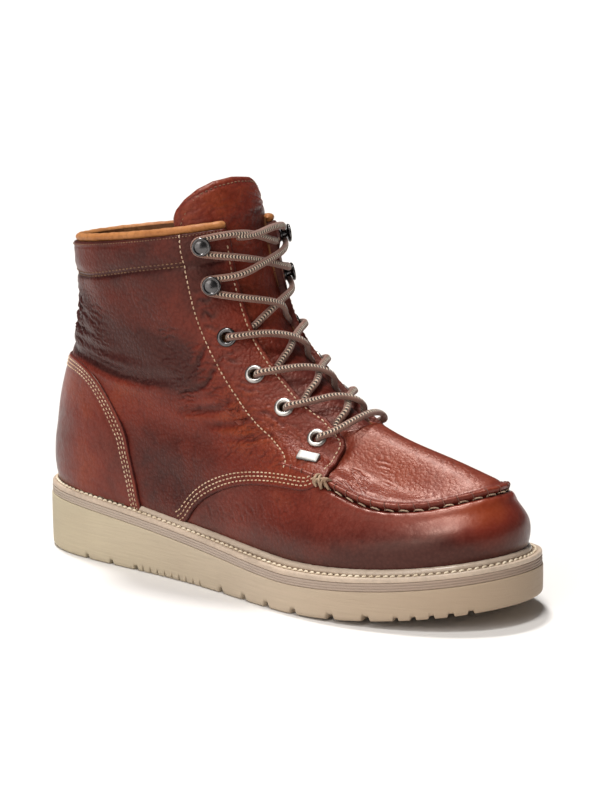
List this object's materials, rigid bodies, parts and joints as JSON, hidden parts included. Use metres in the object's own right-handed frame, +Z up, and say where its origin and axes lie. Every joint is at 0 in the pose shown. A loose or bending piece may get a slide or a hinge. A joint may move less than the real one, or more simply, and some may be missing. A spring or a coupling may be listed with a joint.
{
  "type": "work boot",
  "caption": "Right-foot lace-up leather work boot with a stitched moc toe, padded tongue, eyelets and hooks, on a flat wedge sole with a stitched welt.",
  "frame": {"origin": "bottom centre of the bounding box, on the plane the boot stands on", "axes": "+X towards the toe, +Y towards the medial side (the wearer's left, as this is the right boot), +Z up"},
  "size_m": [0.3088, 0.1124, 0.2071],
  "materials": {
    "outsole_crepe": "matt blown rubber, cream",
    "midsole_strip": "matt, finely ribbed at the edge",
    "welt_leather": "waxed edge, light tan",
    "insole_leather": "undyed",
    "upper_leather": "oiled full grain, red brown",
    "counter_leather": "oiled full grain, red brown",
    "binding_leather": "soft tan",
    "tongue_leather": "soft padded, red brown",
    "eyelet_metal": "nickel plated",
    "hook_metal": "dark nickel",
    "plate_metal": "bare, brushed",
    "lace_textile": "braided, taupe and brown"
  },
  "bodies": {
    "root": {"outsole": "outsole_crepe", "midsole": "midsole_strip", "welt": "welt_leather", "insole": "insole_leather", "upper": "upper_leather", "heel_counter": "counter_leather", "collar_binding": "binding_leather", "tongue": "tongue_leather", "eyelet_lat_1": "eyelet_metal", "eyelet_med_1": "eyelet_metal", "eyelet_lat_2": "eyelet_metal", "eyelet_med_2": "eyelet_metal", "eyelet_lat_3": "eyelet_metal", "eyelet_med_3": "eyelet_metal", "eyelet_lat_4": "eyelet_metal", "eyelet_med_4": "eyelet_metal", "hook_lat_5": "hook_metal", "hook_med_5": "hook_metal", "hook_lat_6": "hook_metal", "hook_med_6": "hook_metal", "side_plate": "plate_metal", "lace_bar": "lace_textile", "lace_cross_1": "lace_textile", "lace_cross_2": "lace_textile", "lace_cross_3": "lace_textile", "lace_hooks": "lace_textile"}
  },
  "joints": []
}
